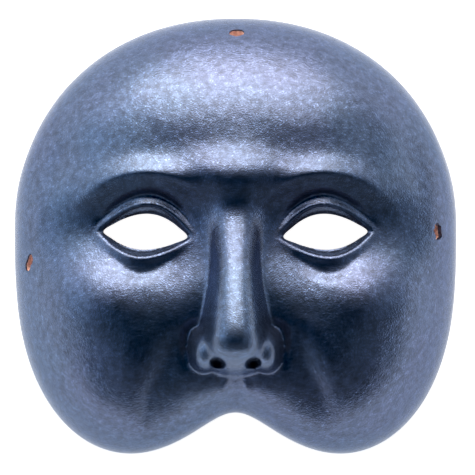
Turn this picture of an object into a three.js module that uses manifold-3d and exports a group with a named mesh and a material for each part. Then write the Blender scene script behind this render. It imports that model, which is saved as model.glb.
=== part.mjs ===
// A half mask for the stage: one shell of fired clay, painted dark, with a calm, plain face,
// two eye openings, three tie holes and a lower edge that rises over the wearer's mouth.
// Millimetres. X runs to the viewer's right, Y to the forehead, Z toward the viewer. The rim lies on Z = 0.
// The front is one height function: a dome, the large forms of the face on it, and the carving on those.
// The face is the same on both sides, so its forms are given for the side where X is positive.

import * as THREE from "three";
import { mergeVertices } from "three/addons/utils/BufferGeometryUtils.js";
import Module from "manifold-3d";

const wasm = await Module();
wasm.setup();

const { clamp, degToRad, euclideanModulo, lerp } = THREE.MathUtils;

// Shell
const WALL = 5;
const DOME_HEIGHT = 55;
const DOME_POWER = 2.4;
// share of the outline's radius over which the forms fade out at the rim
const RIM_FADE = 0.2;

// Outline: a squared oval, rounder at the forehead, with an arch cut from its lower edge over the mouth
const SIDE_REACH = 87.5;
const TOP = { reach: 86, squareness: 2.15 };
const FOOT = { reach: 96.7, squareness: 2.7 };
const OUTLINE_TURN = 1.2;
const ARCH_RISE = 28;
const ARCH_SPREAD = degToRad(20);
// how far the rim stands off the ground under the arch
const LIP_RISE = 18;

// Holes for the tie, one over the forehead and one at each temple; the last has a broken edge
const TIE_HOLE_RADIUS = 2.8;
const TIE_HOLES = [
  { at: [0.5, 78], ragged: 0 },
  { at: [-79.5, -10.5], ragged: 0 },
  { at: [78, 1.5], ragged: 0.3 },
];

// Face: five eye widths across, and equal thirds from hair line to brow and from brow to the nose's base
const FACE_WIDTH = 170;
const THIRD = 64;
const EYE_WIDTH = FACE_WIDTH / 5;
const BROW_Y = 17;
const NOSE_BASE = BROW_Y - THIRD;

// Eyes, each with its middle one eye width from the middle of the face
const EYE = {
  x: EYE_WIDTH,
  y: 0.5,
  half: EYE_WIDTH / 2 - 1,
  upper: 7.6,
  lower: 5.8,
  tilt: 2.2,
  lean: 0.1,
  power: 0.85,
};
// how far the lids' edge stands back from the opening, and how deep the surface dips between the two
const LID = { width: 2.8, depth: 2.2 };

// Nose: its ridge rises from the root to the tip, and each pair holds the value at root and tip
const ROOT_Y = 10;
const TIP_Y = NOSE_BASE + 7;
const RIDGE_HEIGHT = [51.5, 86.5];
const BRIDGE_ARCH = 1.2;
// how fast the ridge dives under the forehead above its root
const ROOT_DIVE = 0.04;
// half the nose's width, and how far the flank has fallen from the ridge there
const HALF_WIDTH = [8, 12.5];
const FLANK_FALL = [7, 22];
// the share of such a fall that is even rounding; the rest steepens toward the edge
const ROUNDED = 0.42;
// how widely the nose blends into the face, and the share of the ridge over which that narrows
const NOSE_BLEND = { root: 9, tip: 3, share: 0.67 };
const NOSE_WING = { at: [11, NOSE_BASE + 5], radii: [6.8, 9], turn: 12, top: 66.5, fall: 17, blend: 5 };
// the steep underside, which sweeps up at its ends
const UNDERSIDE = { y: NOSE_BASE + 3.5, steepness: 4.8, round: 6.2 };
const SWEEP = { rise: 0.08, from: 11, power: 2.2 };

// Large forms, which the back follows too: height over the dome (a hollow is negative) and reach
const SWELLS = [
  // forehead, temple, the place between the brows, and the brow ridge
  { at: [26, 50], radii: [27, 18], height: 2.2 },
  { at: [72, 30], radii: [13, 22], height: -3.4, turn: -14 },
  { at: [0, BROW_Y + 4], radii: [14, 10], height: 2.2 },
  { at: [32, BROW_Y + 3], radii: [28, 8.5], height: 4, turn: -5 },
  // eye socket, and the ball of the eye under the lids
  { at: [EYE.x - 1, EYE.y + 0.5], radii: [26, 17], height: -12.5, turn: -4 },
  { at: [EYE.x + 0.5, EYE.y - 0.5], radii: [16.5, 11.5], height: 6.5 },
  // cheekbone, cheek and upper lip
  { at: [54, -21], radii: [24, 14], height: 5.5, turn: -24 },
  { at: [45, -50], radii: [23, 25], height: 6.5 },
  { at: [0, NOSE_BASE - 10], radii: [17, 10], height: 4.5 },
];
const SWELL_POWER = 1.15;

// Carved lines: height over the surface (a crease is negative) and the reach to each side of the line,
// left being the left-hand side of someone walking along it
const LINES = [
  // brow
  { line: [[10, 13], [19, 20], [33, 23.5], [48, 20.5], [62, 9]], height: 2, left: 7, right: 5, round: 1.2 },
  // fold beside the mouth
  { line: [[21, -33], [26, -48], [32, -61], [35, -78]], height: -2.6, left: 7, right: 10, round: 2.5 },
  // crease round the nose's wing
  { line: [[8, -36], [12, -33], [17, -35], [18, -42], [17, -50]], height: -1.8, left: 3, right: 2, round: 1 },
  // edge beside the groove of the upper lip
  { line: [[3.6, -52], [4.4, -57], [6, -67]], height: 1, left: 2, right: 2, round: 0.6 },
  // edges of the upper and lower lid, the crease over the upper lid and the hollow under the lower
  { line: lidArc(1, 3.4), height: 1.4, left: 2.2, right: 1.9, round: 0.7 },
  { line: lidArc(-1, 3.2), height: 1.1, left: 1.8, right: 2.6, round: 0.8 },
  { line: lidArc(1, 7.4, 4), height: -2, left: 2.2, right: 4, round: 0.7 },
  { line: lidArc(-1, 9, 1).slice(1, -1), height: -1.2, left: 4, right: 4, round: 1 },
];
const LINE_POWER = 2;

const NOSTRIL = { at: [6.6, NOSE_BASE + 0.2], radii: [3.4, 2.6], height: -9, turn: 24, power: 1.5 };
// groove of the upper lip, from the nose's base to the lower edge
const LIP_GROOVE = { at: [0, NOSE_BASE - 13], radii: [3.4, 12], height: -1.8, power: 1.5 };

// Mesh: a grid that is refined where the surface bends
const FRONT = { cells: 28, levels: 3, tolerance: 0.47 };
const BACK = { cells: 16, levels: 2, tolerance: 0.8 };
const BACK_SAMPLES = 12;
const BACK_RINGS = [0.5, 0.8, 1];
// how much the grid's rows crowd toward the rim, and how much coarser the steep sides may be per millimetre
const CROWDING = 0.25;
const SIDE_ALLOWANCE = 0.02;

function smooth(value) {
  const t = clamp(value, 0, 1);
  return t * t * (3 - 2 * t);
}

function softMax(a, b, round) {
  return 0.5 * (a + b + Math.hypot(a - b, round));
}

function cubic(a, b, c, d, t) {
  return b + 0.5 * t * (c - a + t * (2 * a - 5 * b + 4 * c - d + t * (3 * b - a - 3 * c + d)));
}

// a smooth curve through the points, as a list of short steps
function curve(points, closed = false, steps = 8) {
  const n = points.length;
  const at = (i) => {
    if (closed) return points[(i + n) % n];
    if (i < 0) return points[0].map((v, k) => 2 * v - points[1][k]);
    if (i >= n) return points[n - 1].map((v, k) => 2 * v - points[n - 2][k]);
    return points[i];
  };
  const result = [];
  for (let i = 0; i < (closed ? n : n - 1); i++) {
    const [a, b, c, d] = [at(i - 1), at(i), at(i + 1), at(i + 2)];
    for (let k = 0; k < steps; k++) {
      const t = k / steps;
      result.push([cubic(a[0], b[0], c[0], d[0], t), cubic(a[1], b[1], c[1], d[1], t)]);
    }
  }
  if (!closed) result.push(points[n - 1]);
  return result;
}

// distance to a curve, positive on its left, and the share of its length passed at the nearest place
function distanceTo(path, x, y) {
  let best = Infinity;
  let side = 1;
  let passed = 0;
  let length = 0;
  for (let i = 0; i + 1 < path.length; i++) {
    const [ax, ay] = path[i];
    const ex = path[i + 1][0] - ax;
    const ey = path[i + 1][1] - ay;
    const step = Math.hypot(ex, ey);
    const t = clamp(((x - ax) * ex + (y - ay) * ey) / (step * step), 0, 1);
    const distance = Math.hypot(x - ax - t * ex, y - ay - t * ey);
    if (distance < best) {
      best = distance;
      side = ex * (y - ay) - ey * (x - ax) < 0 ? -1 : 1;
      passed = length + t * step;
    }
    length += step;
  }
  return { distance: best * side, share: passed / length };
}

function isInside(path, x, y) {
  let hit = false;
  path.forEach(([ax, ay], i) => {
    const [bx, by] = path[(i + 1) % path.length];
    if (ay > y !== by > y && x < ((bx - ax) * (y - ay)) / (by - ay) + ax) hit = !hit;
  });
  return hit;
}

// how far out a place lies, in its form's own radii
function outness({ at, radii, turn = 0 }, x, y) {
  const angle = degToRad(turn);
  const dx = x - at[0];
  const dy = y - at[1];
  const along = (dx * Math.cos(angle) + dy * Math.sin(angle)) / radii[0];
  const across = (dy * Math.cos(angle) - dx * Math.sin(angle)) / radii[1];
  return along * along + across * across;
}

function swell(form, x, y) {
  return form.height * Math.exp(-(outness(form, x, y) ** SWELL_POWER));
}

function knob(form, x, y) {
  return form.height * Math.max(1 - outness(form, x, y), 0) ** form.power;
}

// half of the almond round an eye: the upper lid's line or the lower's, some way outside the opening
function lidArc(side, grow, corner = 0.8 * grow) {
  const half = EYE.half + corner;
  const tall = (side > 0 ? EYE.upper : EYE.lower) + grow;
  const steps = 8;
  return Array.from({ length: steps + 1 }, (_, k) => {
    const t = k / steps;
    const bulge = Math.sin(Math.PI * t);
    const x = EYE.x + half * (2 * t - 1) - EYE.lean * side * half * bulge;
    return [x, EYE.y + EYE.tilt * (t - 0.5) + side * tall * Math.max(bulge, 0) ** EYE.power];
  });
}

// the whole almond as a closed curve
function almond(grow, steps) {
  return curve([...lidArc(1, grow), ...lidArc(-1, grow).slice(1, -1).reverse()], true, steps);
}

const carvedLines = LINES.map((entry) => {
  const path = curve(entry.line);
  const far = Math.max(entry.left, entry.right) + entry.round;
  const corners = path.map(([x, y]) => new THREE.Vector2(x, y));
  return { ...entry, path, box: new THREE.Box2().setFromPoints(corners).expandByScalar(far) };
});

function carvedLine({ path, box, height, left, right, round }, x, y) {
  if (x < box.min.x || x > box.max.x || y < box.min.y || y > box.max.y) return 0;
  const { distance, share } = distanceTo(path, x, y);
  const off = (Math.hypot(distance, round) - round) / (distance > 0 ? left : right);
  return height * Math.sin(Math.PI * share) * Math.max(1 - off, 0) ** LINE_POWER;
}

// 1 under the arch's crown, falling to 0 on both sides of it
function underArch(angle) {
  const down = euclideanModulo(angle + 1.5 * Math.PI, 2 * Math.PI) - Math.PI;
  return Math.exp(-((down / ARCH_SPREAD) ** 2));
}

const rimHeight = (angle) => LIP_RISE * underArch(angle);

// distance from the middle to the outline, which squares off from the forehead down to the cheeks
function reach(angle) {
  const low = smooth(0.5 - OUTLINE_TURN * Math.sin(angle));
  const tall = lerp(TOP.reach, FOOT.reach, low);
  const power = lerp(TOP.squareness, FOOT.squareness, low);
  const across = (Math.abs(Math.cos(angle)) / SIDE_REACH) ** power;
  const along = (Math.abs(Math.sin(angle)) / tall) ** power;
  return (across + along) ** (-1 / power) - ARCH_RISE * underArch(angle);
}

function dome(x, y) {
  const angle = Math.atan2(y, x);
  const share = Math.hypot(x, y) / reach(angle);
  const rim = rimHeight(angle);
  return { share, height: rim + (DOME_HEIGHT - rim) * Math.sqrt(Math.max(1 - share ** DOME_POWER, 0)) };
}

const rootToTip = (y) => (ROOT_Y - y) / (ROOT_Y - TIP_Y);

// a rounded fall that is complete where its place lies its full radius out
const roundedFall = (fall, out) => fall * out * (ROUNDED + (1 - ROUNDED) * out);

// height of the nose: a rounded ridge with a round tip, a steep underside, and a wing on each flank
function nose(x, y) {
  const along = rootToTip(y);
  const share = smooth(along);
  const arch = BRIDGE_ARCH * Math.sin(Math.PI * clamp(along, 0, 1));
  const ridge = lerp(...RIDGE_HEIGHT, along) + arch - ROOT_DIVE * Math.max(y - ROOT_Y, 0) ** 2;
  const flank = roundedFall(lerp(...FLANK_FALL, share), (x / lerp(...HALF_WIDTH, share * share)) ** 2);
  const below = UNDERSIDE.y + SWEEP.rise * Math.max(Math.abs(x) - SWEEP.from, 0) ** SWEEP.power - y;
  const body = ridge - flank - UNDERSIDE.steepness * 0.5 * (below + Math.hypot(below, UNDERSIDE.round));
  const wing = NOSE_WING.top - roundedFall(NOSE_WING.fall, outness(NOSE_WING, Math.abs(x), y));
  return softMax(body, wing, NOSE_WING.blend);
}

// the dome with the large forms on it
function masses(x, y) {
  const { share, height } = dome(x, y);
  let raised = 0;
  SWELLS.forEach((form) => {
    raised += swell(form, x, y);
    if (form.at[0] !== 0) raised += swell(form, -x, y);
  });
  const face = height + raised * smooth((1 - share) / RIM_FADE);
  const blend = lerp(NOSE_BLEND.root, NOSE_BLEND.tip, smooth(rootToTip(y) / NOSE_BLEND.share));
  return softMax(face, nose(x, y), blend);
}

const lidEdge = almond(LID.width, 3);
const lidLoop = [...lidEdge, lidEdge[0]];

function carving(x, y) {
  const side = Math.abs(x);
  let z = knob(NOSTRIL, side, y) + knob(LIP_GROOVE, side, y);
  if (isInside(lidEdge, side, y)) {
    z -= LID.depth * smooth(Math.abs(distanceTo(lidLoop, side, y).distance) / LID.width);
  }
  carvedLines.forEach((entry) => (z += carvedLine(entry, side, y)));
  return z * smooth((1 - dome(x, y).share) / RIM_FADE);
}

const frontHeight = (x, y) => masses(x, y) + carving(x, y);

// the back lies a wall's thickness behind the large forms, measured square to them, and never below the rim
function backHeight(x, y) {
  let low = masses(x, y) - WALL;
  for (const part of BACK_RINGS) {
    for (let k = 0; k < BACK_SAMPLES; k++) {
      const angle = (2 * Math.PI * k) / BACK_SAMPLES;
      const over = masses(x + part * WALL * Math.cos(angle), y + part * WALL * Math.sin(angle));
      low = Math.min(low, over - WALL * Math.sqrt(1 - part * part));
    }
  }
  return Math.max(low, rimHeight(Math.atan2(y, x)));
}

// a corner of a square grid, carried into the outline: rows stay smooth and crowd toward the rim
function gridPlace(i, j, cells, inset) {
  const u = (2 * i) / cells - 1;
  const v = (2 * j) / cells - 1;
  const a = u * Math.sqrt(1 - (v * v) / 2);
  const b = v * Math.sqrt(1 - (u * u) / 2);
  const angle = Math.atan2(b, a);
  const ring = Math.min(Math.hypot(a, b), 1);
  const radius = (reach(angle) - inset) * ((1 + CROWDING) * ring - CROWDING * ring ** 5);
  const onRim = i === 0 || j === 0 || i === cells || j === cells;
  return { x: radius * Math.cos(angle), y: radius * Math.sin(angle), angle, onRim };
}

class Surface {
  constructor(cells, inset, height) {
    Object.assign(this, { cells, inset, height });
    this.points = [];
    this.triangles = [];
    this.rim = [];
    this.known = new Map();
  }

  // the number of the vertex at a grid corner, made when it is first asked for
  vertex(i, j) {
    const key = j * (this.cells + 1) + i;
    if (!this.known.has(key)) {
      const { x, y, angle, onRim } = gridPlace(i, j, this.cells, this.inset);
      this.known.set(key, this.points.length);
      if (onRim) this.rim.push({ angle, index: this.points.length });
      this.points.push([x, y, onRim ? rimHeight(angle) : this.height(x, y)]);
    }
    return this.known.get(key);
  }

  // two triangles over a grid cell, along the diagonal that lies nearer the surface
  square(i, j, size) {
    const corners = [[0, 0], [1, 0], [1, 1], [0, 1]];
    const [a, b, c, d] = corners.map(([p, q]) => this.vertex(i + p * size, j + q * size));
    const z = (index) => this.points[index][2];
    const last = this.cells - size;
    const atCorner = (i === 0 || i === last) && (j === 0 || j === last);
    const { x, y } = gridPlace(i + size / 2, j + size / 2, this.cells, this.inset);
    const middle = this.height(x, y);
    const offFirst = Math.abs((z(a) + z(c)) / 2 - middle);
    const offSecond = Math.abs((z(b) + z(d)) / 2 - middle);
    const first = atCorner ? (i === 0) === (j === 0) : offFirst <= offSecond;
    this.triangles.push(...(first ? [[a, b, c], [a, c, d]] : [[a, b, d], [b, c, d]]));
  }

  // triangles from the middle of a cell to its sides, for a cell with a finer neighbour
  fan(i, j, size, corners) {
    const middle = this.vertex(i + size / 2, j + size / 2);
    corners.forEach(([p, q], k) => {
      const [r, s] = corners[(k + 1) % corners.length];
      this.triangles.push([middle, this.vertex(p, q), this.vertex(r, s)]);
    });
  }
}

// whether the surface bends inside a grid cell by more than the tolerance, which is wider down the sides
function bends(surface, i, j, size, tolerance) {
  const at = (p, q) => surface.points[surface.vertex(i + p * size, j + q * size)][2];
  const corners = [at(0, 0), at(1, 0), at(1, 1), at(0, 1)];
  const middles = [at(0.5, 0), at(1, 0.5), at(0.5, 1), at(0, 0.5)];
  const centre = at(0.5, 0.5);
  const allowed = tolerance * (1 + SIDE_ALLOWANCE * Math.max(DOME_HEIGHT - centre, 0));
  if (Math.abs(centre - corners.reduce((sum, z) => sum + z / 4, 0)) > allowed) return true;
  return middles.some((z, k) => Math.abs(z - (corners[k] + corners[(k + 1) % 4]) / 2) > allowed);
}

// a grid that splits its cells in four where the surface bends, with sides that meet cell to cell
function refinedSurface({ cells: coarsest, levels, tolerance }, inset, height) {
  const finest = coarsest * 2 ** levels;
  const surface = new Surface(finest, inset, height);
  const probe = new Surface(finest, inset, height);
  const split = [];
  for (let level = 0; level < levels; level++) {
    const cells = coarsest * 2 ** level;
    const size = finest / cells;
    const across = (k) => (k % cells) * size;
    const along = (k) => Math.floor(k / cells) * size;
    const bendsAt = (_, k) => bends(probe, across(k), along(k), size, tolerance);
    split.push(Array.from({ length: cells * cells }, bendsAt));
  }
  const isSplit = (level, i, j) => {
    const cells = coarsest * 2 ** level;
    return level < levels && i >= 0 && j >= 0 && i < cells && j < cells && split[level][j * cells + i];
  };
  // a split cell's parent is split, and so are the parents of its neighbours
  for (let level = levels - 1; level > 0; level--) {
    const cells = coarsest * 2 ** level;
    for (let k = 0; k < cells * cells; k++) {
      const [i, j] = [k % cells, Math.floor(k / cells)];
      if (!isSplit(level, i, j)) continue;
      for (const [p, q] of [[i, j], [i - 1, j], [i + 1, j], [i, j - 1], [i, j + 1]]) {
        if (p < 0 || q < 0 || p >= cells || q >= cells) continue;
        split[level - 1][Math.floor(q / 2) * (cells / 2) + Math.floor(p / 2)] = true;
      }
    }
  }
  const starts = [[0, 0], [1, 0], [1, 1], [0, 1]];
  const sides = [
    { step: [0, -1], middle: [0.5, 0] },
    { step: [1, 0], middle: [1, 0.5] },
    { step: [0, 1], middle: [0.5, 1] },
    { step: [-1, 0], middle: [0, 0.5] },
  ];
  const cover = (level, i, j) => {
    if (isSplit(level, i, j)) {
      starts.forEach(([p, q]) => cover(level + 1, 2 * i + p, 2 * j + q));
      return;
    }
    const size = finest / (coarsest * 2 ** level);
    const corner = ([p, q]) => [(i + p) * size, (j + q) * size];
    const loop = starts.flatMap((start, k) => {
      const { step, middle } = sides[k];
      const finer = isSplit(level, i + step[0], j + step[1]);
      return finer ? [corner(start), corner(middle)] : [corner(start)];
    });
    if (loop.length === 4) surface.square(i * size, j * size, size);
    else surface.fan(i * size, j * size, size, loop);
  };
  for (let j = 0; j < coarsest; j++) for (let i = 0; i < coarsest; i++) cover(0, i, j);
  return surface;
}

// the flat rim between two edge loops, as triangles that advance on whichever loop lags behind
function rimBand(outer, inner) {
  const triangles = [];
  let i = 0;
  let k = 0;
  const angleOf = (loop, n) => loop[n % loop.length].angle + 2 * Math.PI * Math.floor(n / loop.length);
  while (i < outer.length || k < inner.length) {
    const [a, b] = [outer[i % outer.length].index, inner[k % inner.length].index];
    const outerLags = k >= inner.length || angleOf(outer, i + 1) <= angleOf(inner, k + 1);
    const outerNext = i < outer.length && outerLags;
    if (outerNext) triangles.push([a, b, outer[++i % outer.length].index]);
    else triangles.push([a, b, inner[++k % inner.length].index]);
  }
  return triangles;
}

function geometryFrom(points, triangles) {
  const geometry = new THREE.BufferGeometry();
  geometry.setAttribute("position", new THREE.Float32BufferAttribute(points.flat(), 3));
  geometry.setIndex(triangles.flat());
  return geometry;
}

function shellGeometry() {
  const front = refinedSurface(FRONT, 0, frontHeight);
  const back = refinedSurface(BACK, WALL, backHeight);
  const shift = front.points.length;
  const byAngle = (a, b) => a.angle - b.angle;
  const outer = [...front.rim].sort(byAngle);
  const inner = back.rim.map(({ angle, index }) => ({ angle, index: index + shift })).sort(byAngle);
  const backFaces = back.triangles.map(([a, b, c]) => [a + shift, c + shift, b + shift]);
  const faces = [...front.triangles, ...backFaces, ...rimBand(outer, inner)];
  return geometryFrom([...front.points, ...back.points], faces);
}

function toSolid(geometry) {
  const bare = geometry.clone();
  bare.deleteAttribute("normal");
  bare.deleteAttribute("uv");
  const merged = mergeVertices(bare, 1e-4);
  const mesh = new wasm.Mesh({
    numProp: 3,
    vertProperties: merged.attributes.position.array,
    triVerts: new Uint32Array(merged.index.array),
  });
  return new wasm.Manifold(mesh);
}

function fromSolid(solid) {
  const mesh = solid.getMesh();
  const geometry = new THREE.BufferGeometry();
  geometry.setAttribute("position", new THREE.BufferAttribute(mesh.vertProperties, 3));
  geometry.setIndex(new THREE.BufferAttribute(mesh.triVerts, 1));
  geometry.computeVertexNormals();
  return geometry;
}

// a straight cut through the wall in the outline of an eye opening, on the side given as 1 or -1
function eyeCut(side) {
  const shape = new THREE.Shape(almond(0, 3).map(([x, y]) => new THREE.Vector2(side * x, y)));
  return toSolid(new THREE.ExtrudeGeometry(shape, { depth: 1.5 * DOME_HEIGHT, bevelEnabled: false }));
}

// the way the dome faces at a place
function outward(x, y) {
  const step = 0.5;
  const slopeX = (dome(x + step, y).height - dome(x - step, y).height) / (2 * step);
  const slopeY = (dome(x, y + step).height - dome(x, y - step).height) / (2 * step);
  return new THREE.Vector3(-slopeX, -slopeY, 1).normalize();
}

// a hole through the wall, square to the dome, its edge broken by the share given
function tieHoleCut({ at: [x, y], ragged }) {
  const sides = 16;
  const shape = new THREE.Shape(Array.from({ length: sides }, (_, k) => {
    const angle = (2 * Math.PI * k) / sides;
    const broken = 0.6 * Math.sin(2 * angle + 1) + 0.4 * Math.sin(5 * angle);
    const radius = TIE_HOLE_RADIUS * (1 + ragged * broken);
    return new THREE.Vector2(radius * Math.cos(angle), radius * Math.sin(angle));
  }));
  const drill = new THREE.ExtrudeGeometry(shape, { depth: 4 * WALL, bevelEnabled: false });
  drill.translate(0, 0, -2 * WALL);
  const up = new THREE.Vector3(0, 0, 1);
  drill.applyQuaternion(new THREE.Quaternion().setFromUnitVectors(up, outward(x, y)));
  return toSolid(drill.translate(x, y, dome(x, y).height));
}

function darkPaint() {
  return new THREE.MeshStandardMaterial({ color: 0x39425a, roughness: 0.3, metalness: 0.6 });
}

function maskMesh() {
  const cuts = [eyeCut(1), eyeCut(-1), ...TIE_HOLES.map(tieHoleCut)];
  const solid = cuts.reduce((body, cut) => body.subtract(cut), toSolid(shellGeometry()));
  const mesh = new THREE.Mesh(fromSolid(solid), darkPaint());
  mesh.name = "mask";
  return mesh;
}

const mask = new THREE.Group();
mask.add(maskMesh());

export default mask;
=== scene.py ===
"""A dark painted clay half mask that lies face up on a pale floor, seen from straight above.

The shape functions work in millimetres and the scene in metres.
X runs to the viewer's right, Y to the forehead and Z up.
"""

from math import atan, cos, pi, radians, sin

import bpy
import numpy as np
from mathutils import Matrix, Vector


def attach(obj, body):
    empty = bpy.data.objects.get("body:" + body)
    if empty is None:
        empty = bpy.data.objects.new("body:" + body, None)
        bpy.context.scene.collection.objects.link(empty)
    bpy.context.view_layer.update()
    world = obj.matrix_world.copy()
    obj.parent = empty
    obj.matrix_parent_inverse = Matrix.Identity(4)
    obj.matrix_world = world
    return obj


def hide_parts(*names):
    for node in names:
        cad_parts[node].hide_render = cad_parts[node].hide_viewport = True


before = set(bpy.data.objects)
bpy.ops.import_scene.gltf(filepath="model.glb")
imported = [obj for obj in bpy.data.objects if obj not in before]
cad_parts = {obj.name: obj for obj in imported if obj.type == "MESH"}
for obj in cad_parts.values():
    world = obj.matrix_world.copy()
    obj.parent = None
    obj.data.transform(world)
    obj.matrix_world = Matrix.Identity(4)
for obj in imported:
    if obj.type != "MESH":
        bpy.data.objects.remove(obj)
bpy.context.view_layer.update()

MM = 0.001
TINY = 1e-12

# Shell: the wall's thickness, the dome's height and fullness,
# and the share of the way in from the rim over which all forms fade out
WALL = 5.0
DOME_HEIGHT = 55.0
DOME_POWER = 2.4
RIM_FADE = 0.2

# Outline: how far it reaches from the middle, how square its upper and lower parts are,
# and how fast one turns into the other
SIDE_REACH = 87.5
TOP_REACH, FOOT_REACH = 86.0, 96.7
TOP_SQUARENESS, FOOT_SQUARENESS = 2.15, 2.7
OUTLINE_TURN = 1.2

# Arch over the wearer's mouth: how far it cuts into the outline, how wide it is, and how high the rim rises
ARCH_RISE = 28.0
ARCH_SPREAD = radians(20)
LIP_RISE = 18.0

# Holes for the tie: place, how broken the edge is, how far it is drawn out on the slant,
# and how deep the paint runs into it
TIE_HOLE_RADIUS = 2.8
TIE_HOLES = [
    ((0.5, 78.0), 0.08, 0, 0.7),
    ((-79.5, -10.5), 0.12, 0.38, 0.8),
    ((78.0, 1.5), 0.3, 0, 1.6),
]
# waves that break an edge: height, how many go round, and where they start
EDGE_WAVES = [(0.6, 2, 1), (0.3, 5, 0), (0.2, 9, 2)]
HOLE_SIDES = 32
HOLE_REACH = 2 * WALL
# the drill stands square to the slope between points this far away
SLOPE_STEP = 0.5

# Face: five eye widths across, and equal thirds
FACE_WIDTH = 170.0
THIRD = 64.0
EYE_WIDTH = FACE_WIDTH / 5
BROW_Y = 17.0
NOSE_BASE = BROW_Y - THIRD

# Eye opening: its middle, half its width, and its reach up and down
EYE_X, EYE_Y = EYE_WIDTH, 0.5
EYE_HALF = EYE_WIDTH / 2 - 1
EYE_UPPER, EYE_LOWER = 7.6, 5.8
# how much higher the outer corner lies, how far the arcs lean sideways, and how full they are
EYE_TILT, EYE_LEAN, EYE_POWER = 2.2, 0.1, 0.85
# how far the corners move out where the arcs move out by 1 mm
CORNER_GROWTH = 0.8
ARC_POINTS = 9
# the lid slopes into the opening over this width, to this depth
LID_WIDTH, LID_DEPTH = 2.8, 2.2
# the cutter of the opening stands between these heights
EYE_CUT = (10.0, 82.5)

# Nose: its ridge rises from the root to the tip, and each pair holds the value at root and tip
ROOT_Y, TIP_Y = 10.0, NOSE_BASE + 7
RIDGE_HEIGHT = (51.5, 86.5)
BRIDGE_ARCH = 1.2
ROOT_DIVE = 0.04
# half its width, how far it falls from the ridge to there, and the share of that fall that rounds the ridge
HALF_WIDTH, FLANK_DROP, ROUNDED = (8.0, 12.5), (7.0, 22.0), 0.42
# how softly it meets the face, and the share of the way to the tip at which it has the tip's value
NOSE_BLEND, BLEND_SHARE = (9.0, 3.0), 0.67
# wings, which stand out from the flanks: place, radii and turn, then the height of the top,
# how far they fall to the radii, and how softly they meet the nose
WING_PLACE, WING_RADII, WING_TURN = (11.0, NOSE_BASE + 5.0), (6.8, 9.0), 12.0
WING_TOP, WING_FALL, WING_BLEND = 66.5, 17.0, 5.0
# underside: where it starts, how steep it is, and how round its edge
UNDERSIDE_Y, UNDERSIDE_STEEPNESS, UNDERSIDE_ROUND = NOSE_BASE + 3.5, 4.8, 6.2
# its ends sweep up, past this distance from the middle
SWEEP, SWEEP_FROM, SWEEP_POWER = 0.08, 11.0, 2.2

# Large forms: place, radii, height and turn
SWELLS = [
    # forehead, temple, the place between the brows, and the brow ridge
    ((26, 50), (27, 18), 2.2, 0),
    ((72, 30), (13, 22), -3.4, -14),
    ((0, BROW_Y + 4), (14, 10), 2.2, 0),
    ((32, BROW_Y + 3), (28, 8.5), 4.0, -5),
    # eye socket, and the ball of the eye under the lids
    ((EYE_X - 1, EYE_Y + 0.5), (26, 17), -12.5, -4),
    ((EYE_X + 0.5, EYE_Y - 0.5), (16.5, 11.5), 6.5, 0),
    # cheekbone, cheek and upper lip
    ((54, -21), (24, 14), 5.5, -24),
    ((45, -50), (23, 25), 6.5, 0),
    ((0, NOSE_BASE - 10), (17, 10), 4.5, 0),
]
SWELL_POWER = 1.15

# Small hollows, the nostril and the groove of the upper lip: place, radii, height and turn
HOLLOWS = [
    ((6.6, NOSE_BASE + 0.2), (3.4, 2.6), -9.0, 24),
    ((0, NOSE_BASE - 13), (3.4, 12), -1.8, 0),
]
HOLLOW_POWER = 1.5
LINE_POWER = 2.0

# Hand work: length and height of the waves, and how many of each run in drawn directions
HAND_WAVES = [(26, 0.09), (15, 0.045), (9, 0.02), (5, 0.01)]
WAVES_OF_EACH = 5
HAND_SEED = 7

# Mesh: squares across the front and the back, and how far out the grid's rings lie,
# as the weights of the ring's own share, its third power and its ninth
FRONT_CELLS = 296
BACK_CELLS = 80
SPREAD = (0.98, 0.193, -0.173)
# the back keeps the wall's thickness in this many directions, at these shares of it
BACK_SAMPLES = 24
BACK_RINGS = (0.35, 0.7, 0.9, 1.0)
# an edge that turns further than this is drawn sharp
SHARP_ANGLE = radians(50)

# View, in metres: the camera's height over the rim's plane, its shift from the middle,
# and the width of the picture at a plane over the rim's
CAMERA_HEIGHT = 0.8
CAMERA_SHIFT = 0.00078
FRAME_WIDTH = 0.1851
FRAME_PLANE = 0.015

# Light: strength of the surroundings, and how far the brightest area lies from straight overhead
LIGHT = 2.2
KEY_TILT = radians(72)
COOL, WARM = (0.9, 0.98, 1.06), (1.11, 0.95, 0.8)
# strength at each cosine of the angle to a direction: up, to the brightest area, right, and to the foot
FROM_ABOVE = [(-1, 0.5), (0, 0.55), (0.3, 0.5), (0.7, 0.3), (0.9, 0.12), (1, 0.08)]
FROM_KEY = [(-1, 0), (0.55, 0), (0.72, 0.27), (0.85, 1.25), (0.93, 2.15), (1, 2.4)]
FROM_RIGHT = [(-1, 1.6), (0, 1.02), (1, 0.6)]
FROM_FOOT = [(-1, 1.15), (0, 1.0), (0.4, 0.5), (1, 0.3)]
# the curves between these values end at this strength
CURVE_TOP = 5
# the floor is a pale light table, this many metres wide
FLOOR_SIZE = 20
FLOOR_GREY = 0.6
FLOOR_GLOW = 1.0


def smooth(value):
    t = np.clip(value, 0, 1)
    return t * t * (3 - 2 * t)


def lerp(pair, t):
    return pair[0] + (pair[1] - pair[0]) * t


def soft_max(a, b, blend):
    return 0.5 * (a + b + np.hypot(a - b, blend))


def cubic(a, b, c, d, t):
    """The place at t from b to c, on a smooth curve through a, b, c and d."""
    return b + 0.5 * t * (c - a + t * (2 * a - 5 * b + 4 * c - d + t * (3 * b - a - 3 * c + d)))


def curve(points, closed=False, steps=8):
    """A smooth curve through the points, as a list of short steps."""
    p = np.array(points, float)
    n = len(p)
    rows = []
    for i in range(n if closed else n - 1):
        b, c = p[i], p[(i + 1) % n]
        a = p[i - 1] if closed or i else 2 * b - c
        d = p[(i + 2) % n] if closed or i + 2 < n else 2 * c - b
        rows += [cubic(a, b, c, d, k / steps) for k in range(steps)]
    if not closed:
        rows.append(p[-1])
    return np.array(rows)


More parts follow.
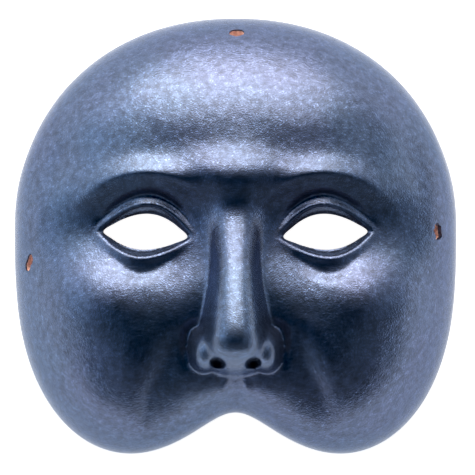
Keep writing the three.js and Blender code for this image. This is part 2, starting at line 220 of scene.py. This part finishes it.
def distance_to(path, x, y):
    """Distance to a curve, positive on its left, and the share of its length passed at the nearest place."""
    best = np.full(x.shape, np.inf)
    side = np.ones(x.shape)
    passed = np.zeros(x.shape)
    length = 0.0
    for (ax, ay), (bx, by) in zip(path[:-1], path[1:]):
        ex, ey = bx - ax, by - ay
        step = np.hypot(ex, ey)
        t = np.clip(((x - ax) * ex + (y - ay) * ey) / (step * step), 0, 1)
        distance = np.hypot(x - ax - t * ex, y - ay - t * ey)
        near = distance < best
        best = np.where(near, distance, best)
        side = np.where(near, np.where(ex * (y - ay) - ey * (x - ax) < 0, -1.0, 1.0), side)
        passed = np.where(near, length + t * step, passed)
        length += step
    return best * side, passed / length


def is_inside(path, x, y):
    hit = np.zeros(x.shape, bool)
    for (ax, ay), (bx, by) in zip(path, np.roll(path, -1, axis=0)):
        crosses = (ay > y) != (by > y)
        hit ^= crosses & (x < (bx - ax) * (y - ay) / (by - ay + TINY) + ax)
    return hit


def outness(x, y, at, radii, turn):
    """How far out a place lies, in its form's own radii, squared."""
    c, s = cos(radians(turn)), sin(radians(turn))
    along = ((x - at[0]) * c + (y - at[1]) * s) / radii[0]
    across = ((y - at[1]) * c - (x - at[0]) * s) / radii[1]
    return along * along + across * across


def swell(x, y, at, radii, height, turn):
    return height * np.exp(-(outness(x, y, at, radii, turn) ** SWELL_POWER))


def hollow(x, y, at, radii, height, turn):
    return height * np.maximum(1 - outness(x, y, at, radii, turn), 0) ** HOLLOW_POWER


def lid_arc(side, grow, corner=None):
    """Half of the almond round an eye, some way outside the opening: side 1 is the upper lid's line."""
    half = EYE_HALF + (CORNER_GROWTH * grow if corner is None else corner)
    tall = (EYE_UPPER if side > 0 else EYE_LOWER) + grow
    points = []
    for t in np.linspace(0, 1, ARC_POINTS):
        bulge = max(sin(pi * t), 0)
        x = EYE_X + half * (2 * t - 1) - EYE_LEAN * side * half * bulge
        points.append((x, EYE_Y + EYE_TILT * (t - 0.5) + side * tall * bulge**EYE_POWER))
    return points


def almond(grow, steps):
    return curve(lid_arc(1, grow) + lid_arc(-1, grow)[-2:0:-1], True, steps)


# Carved lines: the line, its height, its reach to the left and to the right, and its roundness
LINES = [
    # brow
    ([(10, 13), (19, 20), (33, 23.5), (48, 20.5), (62, 9)], 2.0, 7, 5, 1.2),
    # fold beside the mouth
    ([(21, -33), (26, -48), (32, -61), (35, -78)], -2.6, 7, 10, 2.5),
    # crease round the nose's wing
    ([(8, -36), (12, -33), (17, -35), (18, -42), (17, -50)], -1.8, 3, 2, 1.0),
    # edge beside the groove of the upper lip
    ([(3.6, -52), (4.4, -57), (6, -67)], 1.0, 2, 2, 0.6),
    # edges of the upper and lower lid, the crease over the upper lid and the hollow under the lower
    (lid_arc(1, 3.4), 1.4, 2.2, 1.9, 0.7),
    (lid_arc(-1, 3.2), 1.1, 1.8, 2.6, 0.8),
    (lid_arc(1, 7.4, 4), -2.0, 2.2, 4.0, 0.7),
    (lid_arc(-1, 9, 1)[1:-1], -1.2, 4, 4, 1.0),
]


def carved_line(x, y, line, height, left, right, soft):
    """A groove or ridge along a line, which runs out at both ends of it."""
    path = curve(line)
    far = max(left, right) + soft
    near = (x > path[:, 0].min() - far) & (x < path[:, 0].max() + far)
    near &= (y > path[:, 1].min() - far) & (y < path[:, 1].max() + far)
    distance, share = distance_to(path, x[near], y[near])
    strength = np.sin(pi * share)
    off = (np.hypot(distance, soft) - soft) / np.where(distance > 0, left, right)
    result = np.zeros(x.shape)
    result[near] = height * strength * np.maximum(1 - off, 0) ** LINE_POWER
    return result


def under_arch(angle):
    """1 under the arch's crown, falling to 0 on both sides of it."""
    down = np.mod(angle + 1.5 * pi, 2 * pi) - pi
    return np.exp(-((down / ARCH_SPREAD) ** 2))


def rim_height(angle):
    return LIP_RISE * under_arch(angle)


def reach(angle):
    """Distance from the middle to the outline."""
    low = smooth(0.5 - OUTLINE_TURN * np.sin(angle))
    tall = lerp((TOP_REACH, FOOT_REACH), low)
    power = lerp((TOP_SQUARENESS, FOOT_SQUARENESS), low)
    across = (np.abs(np.cos(angle)) / SIDE_REACH) ** power
    along = (np.abs(np.sin(angle)) / tall) ** power
    return (across + along) ** (-1 / power) - ARCH_RISE * under_arch(angle)


def dome(x, y):
    """Height of the dome, and the share of the way from the middle to the outline."""
    angle = np.arctan2(y, x)
    share = np.hypot(x, y) / reach(angle)
    rim = rim_height(angle)
    return rim + (DOME_HEIGHT - rim) * np.sqrt(np.clip(1 - share**DOME_POWER, 0, 1)), share


def fade(share):
    """1 over most of the mask, falling to 0 at the rim."""
    return smooth((1 - share) / RIM_FADE)


def root_to_tip(y):
    return (ROOT_Y - y) / (ROOT_Y - TIP_Y)


def rounded_fall(fall, out):
    """How far a form has fallen from its top at this outness."""
    return fall * out * (ROUNDED + (1 - ROUNDED) * out)


def nose(x, y):
    """Height of the nose: a rounded ridge with two wings, and a steep underside whose ends sweep up."""
    along = root_to_tip(y)
    share = smooth(along)
    ridge = lerp(RIDGE_HEIGHT, along) + BRIDGE_ARCH * np.sin(pi * np.clip(along, 0, 1))
    ridge -= ROOT_DIVE * np.maximum(y - ROOT_Y, 0) ** 2
    body = ridge - rounded_fall(lerp(FLANK_DROP, share), (x / lerp(HALF_WIDTH, share**2)) ** 2)
    foot = UNDERSIDE_Y + SWEEP * np.maximum(np.abs(x) - SWEEP_FROM, 0) ** SWEEP_POWER - y
    body -= UNDERSIDE_STEEPNESS * 0.5 * (foot + np.hypot(foot, UNDERSIDE_ROUND))
    wing = WING_TOP - rounded_fall(WING_FALL, outness(np.abs(x), y, WING_PLACE, WING_RADII, WING_TURN))
    return soft_max(body, wing, WING_BLEND)


def masses(x, y):
    """The dome with the large forms on it, where a form beside the middle stands on both sides."""
    height, share = dome(x, y)
    raised = np.zeros(x.shape)
    for form in SWELLS:
        raised += swell(x, y, *form)
        if form[0][0] != 0:
            raised += swell(-x, y, *form)
    face = height + raised * fade(share)
    return soft_max(face, nose(x, y), lerp(NOSE_BLEND, smooth(root_to_tip(y) / BLEND_SHARE)))


def carving(x, y):
    """The small hollows, the lids' slopes and the carved lines, the same on both sides."""
    side = np.abs(x)
    z = np.zeros(x.shape)
    for form in HOLLOWS:
        z += hollow(side, y, *form)
    edge = almond(LID_WIDTH, steps=3)
    inward = np.abs(distance_to(np.vstack([edge, edge[:1]]), side, y)[0])
    z -= LID_DEPTH * smooth(inward / LID_WIDTH) * is_inside(edge, side, y)
    for line in LINES:
        z += carved_line(side, y, *line)
    return z * fade(dome(x, y)[1])


def hand_work(x, y):
    """The low unevenness that hands and tools leave in clay, as waves in many directions."""
    draw = np.random.default_rng(HAND_SEED)
    z = np.zeros(x.shape)
    for length, height in HAND_WAVES:
        for _ in range(WAVES_OF_EACH):
            turn, start = draw.uniform(0, 2 * pi, 2)
            z += height / 2 * np.sin(2 * pi * (x * cos(turn) + y * sin(turn)) / length + start)
    return z


def front_height(x, y):
    return masses(x, y) + carving(x, y) + hand_work(x, y) * fade(dome(x, y)[1])


def back_height(x, y):
    """A wall's thickness behind the large forms, measured square to them, and never below the rim."""
    low = masses(x, y) - WALL
    for part in BACK_RINGS:
        for angle in np.linspace(0, 2 * pi, BACK_SAMPLES, endpoint=False):
            over = masses(x + part * WALL * cos(angle), y + part * WALL * sin(angle))
            low = np.minimum(low, over - WALL * (1 - part * part) ** 0.5)
    return np.maximum(low, rim_height(np.arctan2(y, x)))


def grid(cells, inset, height):
    """Points of a square grid carried into the outline, whose rows crowd toward the rim."""
    v, u = np.meshgrid(np.linspace(-1, 1, cells + 1), np.linspace(-1, 1, cells + 1), indexing="ij")
    a = u * np.sqrt(1 - v * v / 2)
    b = v * np.sqrt(1 - u * u / 2)
    angle = np.arctan2(b, a)
    ring = np.minimum(np.hypot(a, b), 1)
    radius = (reach(angle) - inset) * (SPREAD[0] * ring + SPREAD[1] * ring**3 + SPREAD[2] * ring**9)
    x, y = radius * np.cos(angle), radius * np.sin(angle)
    z = height(x, y)
    rim = np.maximum(np.abs(u), np.abs(v)) > 1 - TINY
    z[rim] = rim_height(angle[rim])
    return np.stack([x, y, z], axis=-1).reshape(-1, 3)


def grid_faces(cells, start, up):
    faces = []
    for j in range(cells):
        for i in range(cells):
            a = start + j * (cells + 1) + i
            b, c, d = a + 1, a + cells + 2, a + cells + 1
            faces.append((a, b, c, d) if up else (a, d, c, b))
    return faces


def grid_border(cells, start):
    """The vertices round a grid, counter-clockwise from its low left corner."""
    row = cells + 1
    low = [start + i for i in range(cells)]
    right = [start + j * row + cells for j in range(cells)]
    high = [start + cells * row + i for i in range(cells, 0, -1)]
    left = [start + j * row for j in range(cells, 0, -1)]
    return low + right + high + left


def rim_band(outer, inner):
    """Faces between two border loops, each step advancing the loop that lags behind."""
    faces = []
    i = k = 0
    while i < len(outer) or k < len(inner):
        a, b = outer[i % len(outer)], inner[k % len(inner)]
        if k >= len(inner) or (i < len(outer) and (i + 1) / len(outer) <= (k + 1) / len(inner)):
            i += 1
            faces.append((b, outer[i % len(outer)], a))
        else:
            k += 1
            faces.append((a, b, inner[k % len(inner)]))
    return faces


def mesh_object(name, points, faces, materials):
    mesh = bpy.data.meshes.new(name)
    mesh.from_pydata([tuple(p) for p in np.asarray(points) * MM], [], faces)
    mesh.validate()
    built = bpy.data.objects.new(name, mesh)
    bpy.context.collection.objects.link(built)
    for material in materials:
        mesh.materials.append(material)
    return built


def column(name, ring, levels, materials):
    """A straight closed column on a ring of points, with a material from each level to the next."""
    n = len(ring)
    last = n * (len(levels) - 1)
    points = [(x, y, z) for z in levels for x, y in ring]
    caps = [tuple(range(n))[::-1], tuple(range(last, last + n))]
    sides = []
    for low in range(0, last, n):
        for i in range(n):
            j = (i + 1) % n
            sides.append((low + i, low + j, low + n + j, low + n + i))
    built = mesh_object(name, points, caps + sides, materials)
    for polygon in built.data.polygons[len(caps):]:
        polygon.material_index = (polygon.index - len(caps)) // n
    return built


def eye_cutter(side, material):
    ring = almond(0, steps=6) * (side, 1)
    return column("eye_cut", ring[::-side], EYE_CUT, [material])


def tie_hole_cutter(place, ragged, slant, painted, clay, paint):
    """A drill square to the dome, whose walls are clay below the depth that the paint runs into."""
    x, y, step = place[0], place[1], SLOPE_STEP
    here = np.array([x, x + step, x - step, x, x])
    there = np.array([y, y, y, y + step, y - step])
    z = dome(here, there)[0]
    outward = Vector((z[2] - z[1], z[4] - z[3], 2 * step)).normalized()
    surface = (front_height(here, there)[0] - z[0]) * outward.z
    angles = np.linspace(0, 2 * pi, HOLE_SIDES, endpoint=False)
    broken = sum(height * np.sin(count * angles + start) for height, count, start in EDGE_WAVES)
    radius = TIE_HOLE_RADIUS * (1 + ragged * broken - slant * np.sin(2 * angles))
    ring = np.stack([radius * np.cos(angles), radius * np.sin(angles)], 1)
    cut = column("tie_cut", ring, (-HOLE_REACH, surface - painted, HOLE_REACH), [clay, paint])
    cut.matrix_world = outward.to_track_quat("Z", "Y").to_matrix().to_4x4()
    cut.location = Vector((x, y, z[0])) * MM
    return cut


def cut_away(body, cutters):
    for cutter in cutters:
        step = body.modifiers.new("cut", "BOOLEAN")
        step.operation = "DIFFERENCE"
        step.solver = "EXACT"
        step.material_mode = "TRANSFER"
        step.object = cutter
        with bpy.context.temp_override(object=body, active_object=body):
            bpy.ops.object.modifier_apply(modifier=step.name)
        bpy.data.objects.remove(cutter)


def set_inputs(tree, node, inputs):
    """Sets each of a node's inputs, to a value or to another node's output."""
    for key, value in inputs.items():
        if isinstance(value, bpy.types.NodeSocket):
            tree.links.new(value, node.inputs[key])
        else:
            node.inputs[key].default_value = value


def add_node(tree, kind, inputs, **settings):
    node = tree.nodes.new(kind)
    for key, value in settings.items():
        setattr(node, key, value)
    set_inputs(tree, node, inputs)
    return node


def mix(tree, kind, a, b):
    """Two colours multiplied or added, each another node's output or one colour."""
    a, b = [(*color, 1) if isinstance(color, tuple) else color for color in (a, b)]
    node = add_node(tree, "ShaderNodeMix", {"Factor": 1.0, "A": a, "B": b}, data_type="RGBA", blend_type=kind)
    return node.outputs["Result"]


def noise(tree, place, per_metre, detail):
    inputs = {"Vector": place, "Scale": per_metre, "Detail": detail}
    return add_node(tree, "ShaderNodeTexNoise", inputs).outputs["Fac"]


def cells(tree, place, per_metre):
    """Small cells: a random colour for each, and the distance from its middle."""
    node = add_node(tree, "ShaderNodeTexVoronoi", {"Vector": place, "Scale": per_metre})
    return node.outputs["Color"], node.outputs["Distance"]


def ramp(tree, factor, stops):
    node = add_node(tree, "ShaderNodeValToRGB", {"Fac": factor})
    elements = node.color_ramp.elements
    while len(elements) < len(stops):
        elements.new(0.5)
    for element, (position, color) in zip(elements, stops):
        element.position = position
        element.color = (*color, 1) if isinstance(color, tuple) else (color, color, color, 1)
    return node.outputs["Color"]


def bumps(tree, layers):
    """Layers of bump on each other: the height's pattern, its strength, and its depth in metres."""
    normal = None
    for height, strength, depth in layers:
        inputs = {"Height": height, "Strength": strength, "Distance": depth}
        if normal:
            inputs["Normal"] = normal
        normal = add_node(tree, "ShaderNodeBump", inputs).outputs["Normal"]
    return normal


def new_material(name):
    material = bpy.data.materials.new(name)
    material.use_nodes = True
    return material, material.node_tree


def coordinates(tree, kind):
    return add_node(tree, "ShaderNodeTexCoord", {}).outputs[kind]


def set_surface(tree, inputs):
    set_inputs(tree, tree.nodes["Principled BSDF"], inputs)


def dark_paint():
    """Blue-black paint with a metallic sheen, uneven in tone and gloss, with flakes, clumps and pits."""
    material, tree = new_material("dark_paint")
    place = coordinates(tree, "Object")
    tones = [(0.35, (0.061, 0.095, 0.168)), (0.65, (0.07, 0.092, 0.174))]
    tone = ramp(tree, noise(tree, place, 18.0, 3.0), tones)
    mottle = ramp(tree, noise(tree, place, 400.0, 5.0), [(0.3, 0.66), (0.5, 1.0), (0.72, 1.42)])
    flake_color, flake_edge = cells(tree, place, 2000.0)
    glint = add_node(tree, "ShaderNodeSeparateColor", {"Color": flake_color}).outputs["Red"]
    bright = ramp(tree, glint, [(0.0, 0.78), (0.6, 0.95), (0.9, 1.1), (1.0, 1.6)])
    clumps = cells(tree, place, 1000.0)[1]
    pits = ramp(tree, cells(tree, place, 240.0)[1], [(0.0, 0.0), (0.12, 1.0)])
    layers = [
        (flake_edge, 0.4, 0.0002),
        (clumps, 0.11, 0.0004),
        (noise(tree, place, 900.0, 3.0), 0.08, 0.0004),
        (pits, 0.2, 0.0003),
    ]
    set_surface(tree, {
        "Base Color": mix(tree, "MULTIPLY", mix(tree, "MULTIPLY", tone, mottle), bright),
        "Roughness": ramp(tree, noise(tree, place, 55.0, 5.0), [(0.25, 0.15), (0.75, 0.25)]),
        "Metallic": 0.8,
        "Specular Tint": (0.3, 0.4, 0.6, 1),
        "Coat Weight": 0.45,
        "Coat Roughness": 0.25,
        "Normal": bumps(tree, layers),
    })
    return material


def bare_clay():
    """Orange fired clay, matt and grainy with a few dark stains, on the walls of the tie holes."""
    material, tree = new_material("bare_clay")
    place = coordinates(tree, "Object")
    grain = noise(tree, place, 700.0, 4.0)
    stain = noise(tree, place, 420.0, 2.0)
    fired = ramp(tree, grain, [(0.35, (0.7, 0.38, 0.3)), (0.65, (0.95, 0.66, 0.56))])
    bare = ramp(tree, stain, [(0.34, (0.12, 0.07, 0.07)), (0.42, 1.0)])
    set_surface(tree, {
        "Base Color": mix(tree, "MULTIPLY", fired, bare),
        "Roughness": 0.85,
        "Normal": bumps(tree, [(grain, 0.5, 0.0004)]),
    })
    return material


def thin_paint():
    """Matt brown-black paint, thin enough to show some clay, on the inside and the eyes' walls."""
    material, tree = new_material("thin_paint")
    place = coordinates(tree, "Object")
    browns = [(0.35, (0.03, 0.021, 0.021)), (0.6, (0.075, 0.045, 0.038)), (0.75, (0.17, 0.08, 0.05))]
    set_surface(tree, {
        "Base Color": ramp(tree, noise(tree, place, 160.0, 6.0), browns),
        "Roughness": 0.8,
        "Specular IOR Level": 0.25,
        "Normal": bumps(tree, [(noise(tree, place, 500.0, 4.0), 0.3, 0.0004)]),
    })
    return material


def make_mask():
    """The shell: a fine front, a coarser back and the rim between them, with the openings cut out."""
    materials = [dark_paint(), bare_clay(), thin_paint()]
    paint, clay, thin = materials
    front = grid(FRONT_CELLS, 0, front_height)
    back = grid(BACK_CELLS, WALL, back_height)
    start = len(front)
    outer = grid_border(FRONT_CELLS, 0)
    inner = grid_border(BACK_CELLS, start)
    front_faces = grid_faces(FRONT_CELLS, 0, True)
    back_faces = grid_faces(BACK_CELLS, start, False)
    faces = front_faces + rim_band(outer, inner) + back_faces
    mask = mesh_object("mask_shell", np.vstack([front, back]), faces, materials)
    inside = len(faces) - len(back_faces)
    for polygon in mask.data.polygons[inside:]:
        polygon.material_index = materials.index(thin)
    cutters = [eye_cutter(side, thin) for side in (1, -1)]
    cutters += [tie_hole_cutter(*hole, clay, paint) for hole in TIE_HOLES]
    cut_away(mask, cutters)
    mask.data.shade_smooth()
    mask.data.set_sharp_from_angle(angle=SHARP_ANGLE)
    return mask


def stage():
    bpy.ops.mesh.primitive_plane_add(size=FLOOR_SIZE, location=(0, 0, 0))
    floor = bpy.context.object
    floor.name = "floor"
    material, tree = new_material("floor_paint")
    set_surface(tree, {
        "Base Color": (FLOOR_GREY, FLOOR_GREY, FLOOR_GREY, 1),
        "Roughness": 0.9,
        "Emission Color": (1, 1, 1, 1),
        "Emission Strength": FLOOR_GLOW,
    })
    floor.data.materials.append(material)
    return floor


def strength_toward(tree, place, direction, stops):
    """Strength of the light by the cosine of the angle between where it comes from and a direction."""
    inputs = {0: place, 1: Vector(direction).normalized()}
    aim = add_node(tree, "ShaderNodeVectorMath", inputs, operation="DOT_PRODUCT").outputs["Value"]
    shape = add_node(tree, "ShaderNodeFloatCurve", {"Value": aim})
    shape.mapping.clip_min_x, shape.mapping.clip_min_y = -1, 0
    shape.mapping.clip_max_x, shape.mapping.clip_max_y = 1, CURVE_TOP
    points = shape.mapping.curves[0].points
    while len(points) < len(stops):
        points.new(0, 0)
    for point, stop in zip(points, stops):
        point.location = stop
    shape.mapping.update()
    return shape.outputs["Value"]


def studio():
    """Soft light from all round: dim overhead and at the foot, brightest at the forehead and the left."""
    world = bpy.data.worlds.new("studio")
    bpy.context.scene.world = world
    world.use_nodes = True
    tree = world.node_tree
    place = coordinates(tree, "Generated")
    above = strength_toward(tree, place, (0, 0, 1), FROM_ABOVE)
    key = strength_toward(tree, place, (0, sin(KEY_TILT), cos(KEY_TILT)), FROM_KEY)
    right = strength_toward(tree, place, (1, 0, 0), FROM_RIGHT)
    foot = strength_toward(tree, place, (0, -1, 0), FROM_FOOT)
    light = mix(tree, "ADD", mix(tree, "MULTIPLY", above, COOL), mix(tree, "MULTIPLY", key, WARM))
    light = mix(tree, "MULTIPLY", mix(tree, "MULTIPLY", light, right), foot)
    set_inputs(tree, tree.nodes["Background"], {"Color": light, "Strength": LIGHT})


def camera():
    lens = bpy.data.cameras.new("camera")
    lens.angle = 2 * atan(FRAME_WIDTH / 2 / (CAMERA_HEIGHT - FRAME_PLANE))
    eye = bpy.data.objects.new("camera", lens)
    eye.location = (CAMERA_SHIFT, -CAMERA_SHIFT, CAMERA_HEIGHT)
    bpy.context.collection.objects.link(eye)
    bpy.context.scene.camera = eye


camera()
mask = make_mask()
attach(mask, "root")
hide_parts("mask")
stage()
studio()
bpy.context.scene.view_settings.view_transform = "Standard"
